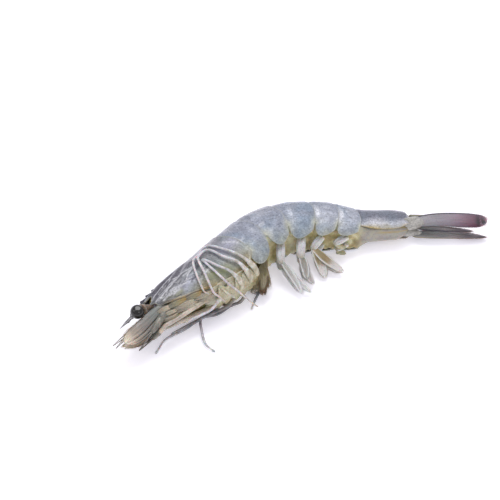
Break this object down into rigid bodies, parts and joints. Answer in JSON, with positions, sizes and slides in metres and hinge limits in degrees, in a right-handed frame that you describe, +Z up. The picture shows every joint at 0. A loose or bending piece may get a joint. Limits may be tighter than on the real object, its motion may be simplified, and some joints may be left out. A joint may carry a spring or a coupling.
{
  "type": "raw whiteleg shrimp",
  "caption": "Whole raw shrimp in its shell, head on, lying on its right side with a gently curved body; seafood to lay on a dish, on ice or in a market display.",
  "frame": {"origin": "on the floor plane, under the middle of the bounding box", "axes": "+X towards the tail, +Y towards the side of the back, +Z up out of the left flank; the animal lies on its right flank"},
  "size_m": [0.1504, 0.0806, 0.0217],
  "materials": {
    "shell": "wet translucent blue-grey shell with fine dark speckles",
    "scale": "wet grey-green plate",
    "limb": "wet pale translucent shell",
    "swimmeret": "wet, pale to tan, translucent",
    "mouthparts": "wet cream to ochre",
    "tail_fan": "wet grey turning maroon at the tips",
    "eye": "glossy black"
  },
  "bodies": {
    "root": {"carapace": "shell", "thorax": "mouthparts", "abdomen_1": "shell", "abdomen_2": "shell", "abdomen_3": "shell", "abdomen_4": "shell", "abdomen_5": "shell", "abdomen_6": "shell", "telson": "shell", "uropod_outer_left": "tail_fan", "uropod_inner_left": "tail_fan", "eye_left": "eye", "eyestalk_left": "mouthparts", "antennule_left": "limb", "antenna_left": "mouthparts", "antennal_scale_left": "scale", "maxilliped_left": "mouthparts", "walking_leg_1_left": "limb", "swimmeret_1_left": "swimmeret", "walking_leg_2_left": "limb", "swimmeret_2_left": "swimmeret", "walking_leg_3_left": "limb", "swimmeret_3_left": "swimmeret", "walking_leg_4_left": "limb", "swimmeret_4_left": "swimmeret", "walking_leg_5_left": "limb", "swimmeret_5_left": "swimmeret", "uropod_outer_right": "tail_fan", "uropod_inner_right": "tail_fan", "eye_right": "eye", "eyestalk_right": "mouthparts", "antennule_right": "limb", "antenna_right": "mouthparts", "antennal_scale_right": "scale", "maxilliped_right": "mouthparts", "walking_leg_1_right": "limb", "swimmeret_1_right": "swimmeret", "walking_leg_2_right": "limb", "swimmeret_2_right": "swimmeret", "walking_leg_3_right": "limb", "swimmeret_3_right": "swimmeret", "walking_leg_4_right": "limb", "swimmeret_4_right": "swimmeret", "walking_leg_5_right": "limb", "swimmeret_5_right": "swimmeret"}
  },
  "joints": []
}
